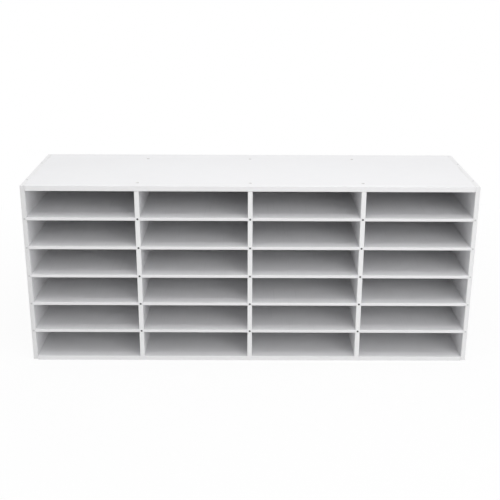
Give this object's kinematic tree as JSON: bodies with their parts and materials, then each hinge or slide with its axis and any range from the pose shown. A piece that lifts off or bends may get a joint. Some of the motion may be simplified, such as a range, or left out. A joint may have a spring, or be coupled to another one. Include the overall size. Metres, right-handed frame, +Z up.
{
  "type": "pigeonhole mail sorter",
  "caption": "Free-standing white board mail sorter: a low wide carcass split by upright dividers and pull-out shelves into a grid of equal open pigeonholes for letters and papers.",
  "frame": {"origin": "on the floor under the middle of the sorter's footprint", "axes": "+X to the viewer's right along the width, +Y from the open front to the back, +Z up"},
  "size_m": [1, 0.298, 0.417],
  "materials": {
    "carcass_board": "white melamine-faced board with white banded edges, satin",
    "shelf_board": "thin white-faced board, satin",
    "back_board": "white-faced hardboard inside, satin",
    "lock_screw": "dark oxide steel",
    "board_screw": "zinc plated steel"
  },
  "bodies": {
    "carcass": {"left_side": "carcass_board", "right_side": "carcass_board", "top_panel": "carcass_board", "base_panel": "carcass_board", "divider_1": "carcass_board", "divider_2": "carcass_board", "divider_3": "carcass_board", "back_panel": "back_board", "lock_screw_div1_tier1": "lock_screw", "lock_screw_div1_tier2": "lock_screw", "lock_screw_div1_tier3": "lock_screw", "lock_screw_div1_tier4": "lock_screw", "lock_screw_div1_tier5": "lock_screw", "lock_screw_div2_tier1": "lock_screw", "lock_screw_div2_tier2": "lock_screw", "lock_screw_div2_tier3": "lock_screw", "lock_screw_div2_tier4": "lock_screw", "lock_screw_div2_tier5": "lock_screw", "lock_screw_div3_tier1": "lock_screw", "lock_screw_div3_tier2": "lock_screw", "lock_screw_div3_tier3": "lock_screw", "lock_screw_div3_tier4": "lock_screw", "lock_screw_div3_tier5": "lock_screw", "top_screw_div1_front": "board_screw", "top_screw_div1_back": "board_screw", "top_screw_div2_front": "board_screw", "top_screw_div2_back": "board_screw", "top_screw_div3_front": "board_screw", "top_screw_div3_back": "board_screw", "base_screw_div1": "board_screw", "base_screw_div2": "board_screw", "base_screw_div3": "board_screw", "left_side_screw_top_front": "board_screw", "left_side_screw_top_back": "board_screw", "left_side_screw_base_front": "board_screw", "left_side_screw_base_back": "board_screw", "right_side_screw_top_front": "board_screw", "right_side_screw_top_back": "board_screw", "right_side_screw_base_front": "board_screw", "right_side_screw_base_back": "board_screw"},
    "shelf_tier1_col1": {"shelf_tier1_col1": "shelf_board"},
    "shelf_tier1_col2": {"shelf_tier1_col2": "shelf_board"},
    "shelf_tier1_col3": {"shelf_tier1_col3": "shelf_board"},
    "shelf_tier1_col4": {"shelf_tier1_col4": "shelf_board"},
    "shelf_tier2_col1": {"shelf_tier2_col1": "shelf_board"},
    "shelf_tier2_col2": {"shelf_tier2_col2": "shelf_board"},
    "shelf_tier2_col3": {"shelf_tier2_col3": "shelf_board"},
    "shelf_tier2_col4": {"shelf_tier2_col4": "shelf_board"},
    "shelf_tier3_col1": {"shelf_tier3_col1": "shelf_board"},
    "shelf_tier3_col2": {"shelf_tier3_col2": "shelf_board"},
    "shelf_tier3_col3": {"shelf_tier3_col3": "shelf_board"},
    "shelf_tier3_col4": {"shelf_tier3_col4": "shelf_board"},
    "shelf_tier4_col1": {"shelf_tier4_col1": "shelf_board"},
    "shelf_tier4_col2": {"shelf_tier4_col2": "shelf_board"},
    "shelf_tier4_col3": {"shelf_tier4_col3": "shelf_board"},
    "shelf_tier4_col4": {"shelf_tier4_col4": "shelf_board"},
    "shelf_tier5_col1": {"shelf_tier5_col1": "shelf_board"},
    "shelf_tier5_col2": {"shelf_tier5_col2": "shelf_board"},
    "shelf_tier5_col3": {"shelf_tier5_col3": "shelf_board"},
    "shelf_tier5_col4": {"shelf_tier5_col4": "shelf_board"}
  },
  "joints": [
    {"name": "shelf_tier1_col1_slide", "type": "slide", "parent": "carcass", "child": "shelf_tier1_col1", "axis": [0, -1, 0], "range_m": [0, 0.27]},
    {"name": "shelf_tier1_col2_slide", "type": "slide", "parent": "carcass", "child": "shelf_tier1_col2", "axis": [0, -1, 0], "range_m": [0, 0.27]},
    {"name": "shelf_tier1_col3_slide", "type": "slide", "parent": "carcass", "child": "shelf_tier1_col3", "axis": [0, -1, 0], "range_m": [0, 0.27]},
    {"name": "shelf_tier1_col4_slide", "type": "slide", "parent": "carcass", "child": "shelf_tier1_col4", "axis": [0, -1, 0], "range_m": [0, 0.27]},
    {"name": "shelf_tier2_col1_slide", "type": "slide", "parent": "carcass", "child": "shelf_tier2_col1", "axis": [0, -1, 0], "range_m": [0, 0.27]},
    {"name": "shelf_tier2_col2_slide", "type": "slide", "parent": "carcass", "child": "shelf_tier2_col2", "axis": [0, -1, 0], "range_m": [0, 0.27]},
    {"name": "shelf_tier2_col3_slide", "type": "slide", "parent": "carcass", "child": "shelf_tier2_col3", "axis": [0, -1, 0], "range_m": [0, 0.27]},
    {"name": "shelf_tier2_col4_slide", "type": "slide", "parent": "carcass", "child": "shelf_tier2_col4", "axis": [0, -1, 0], "range_m": [0, 0.27]},
    {"name": "shelf_tier3_col1_slide", "type": "slide", "parent": "carcass", "child": "shelf_tier3_col1", "axis": [0, -1, 0], "range_m": [0, 0.27]},
    {"name": "shelf_tier3_col2_slide", "type": "slide", "parent": "carcass", "child": "shelf_tier3_col2", "axis": [0, -1, 0], "range_m": [0, 0.27]},
    {"name": "shelf_tier3_col3_slide", "type": "slide", "parent": "carcass", "child": "shelf_tier3_col3", "axis": [0, -1, 0], "range_m": [0, 0.27]},
    {"name": "shelf_tier3_col4_slide", "type": "slide", "parent": "carcass", "child": "shelf_tier3_col4", "axis": [0, -1, 0], "range_m": [0, 0.27]},
    {"name": "shelf_tier4_col1_slide", "type": "slide", "parent": "carcass", "child": "shelf_tier4_col1", "axis": [0, -1, 0], "range_m": [0, 0.27]},
    {"name": "shelf_tier4_col2_slide", "type": "slide", "parent": "carcass", "child": "shelf_tier4_col2", "axis": [0, -1, 0], "range_m": [0, 0.27]},
    {"name": "shelf_tier4_col3_slide", "type": "slide", "parent": "carcass", "child": "shelf_tier4_col3", "axis": [0, -1, 0], "range_m": [0, 0.27]},
    {"name": "shelf_tier4_col4_slide", "type": "slide", "parent": "carcass", "child": "shelf_tier4_col4", "axis": [0, -1, 0], "range_m": [0, 0.27]},
    {"name": "shelf_tier5_col1_slide", "type": "slide", "parent": "carcass", "child": "shelf_tier5_col1", "axis": [0, -1, 0], "range_m": [0, 0.27]},
    {"name": "shelf_tier5_col2_slide", "type": "slide", "parent": "carcass", "child": "shelf_tier5_col2", "axis": [0, -1, 0], "range_m": [0, 0.27]},
    {"name": "shelf_tier5_col3_slide", "type": "slide", "parent": "carcass", "child": "shelf_tier5_col3", "axis": [0, -1, 0], "range_m": [0, 0.27]},
    {"name": "shelf_tier5_col4_slide", "type": "slide", "parent": "carcass", "child": "shelf_tier5_col4", "axis": [0, -1, 0], "range_m": [0, 0.27]}
  ]
}
